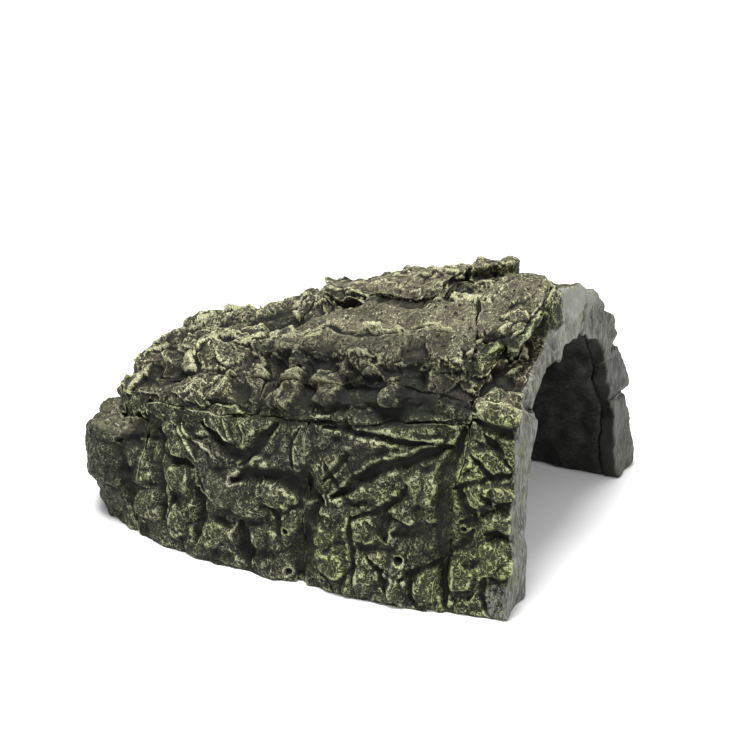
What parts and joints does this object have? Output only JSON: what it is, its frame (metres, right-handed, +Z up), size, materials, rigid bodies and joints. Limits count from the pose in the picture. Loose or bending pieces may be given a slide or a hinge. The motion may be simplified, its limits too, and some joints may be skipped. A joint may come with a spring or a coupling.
{
  "type": "resin cave ornament",
  "caption": "Rock shelter for an aquarium or turtle tank: a low vault of cast stones with one arched mouth, a closed rear and an open underside.",
  "frame": {"origin": "on the base plane, under the middle of the ornament's bounding box", "axes": "-Y out of the mouth of the cave, +Z up, +X to the right of someone facing the rear from the mouth"},
  "size_m": [0.163, 0.204, 0.1263],
  "materials": {
    "mossy_stone": "cast resin, dark grey-green with pale yellow-green dry brushing",
    "roof_stone": "cast resin, tan grey with pale dry brushing",
    "ring_stone": "cast resin, plain grey on the face of the mouth, brush streaked",
    "lining": "cast resin, dark grey with a coarse woven texture"
  },
  "bodies": {
    "root": {"left_pillar_stone": "ring_stone", "left_shoulder_stone": "ring_stone", "crown_stone": "ring_stone", "right_shoulder_stone": "ring_stone", "right_middle_stone": "ring_stone", "right_pillar_stone": "ring_stone", "left_lower_front_stone": "mossy_stone", "left_lower_rear_stone": "mossy_stone", "left_upper_front_stone": "mossy_stone", "left_upper_rear_stone": "mossy_stone", "right_lower_front_stone": "mossy_stone", "right_lower_rear_stone": "mossy_stone", "right_upper_front_stone": "mossy_stone", "right_upper_rear_stone": "mossy_stone", "roof_front_stone": "roof_stone", "roof_rear_stone": "roof_stone", "rear_left_corner_stone": "mossy_stone", "rear_middle_stone": "mossy_stone", "rear_right_corner_stone": "mossy_stone", "rear_left_cap_stone": "mossy_stone", "rear_right_cap_stone": "mossy_stone", "lower_slab": "roof_stone", "upper_slab": "roof_stone", "lip_slab": "roof_stone", "summit_stone": "roof_stone", "vault_lining": "lining"}
  },
  "joints": []
}
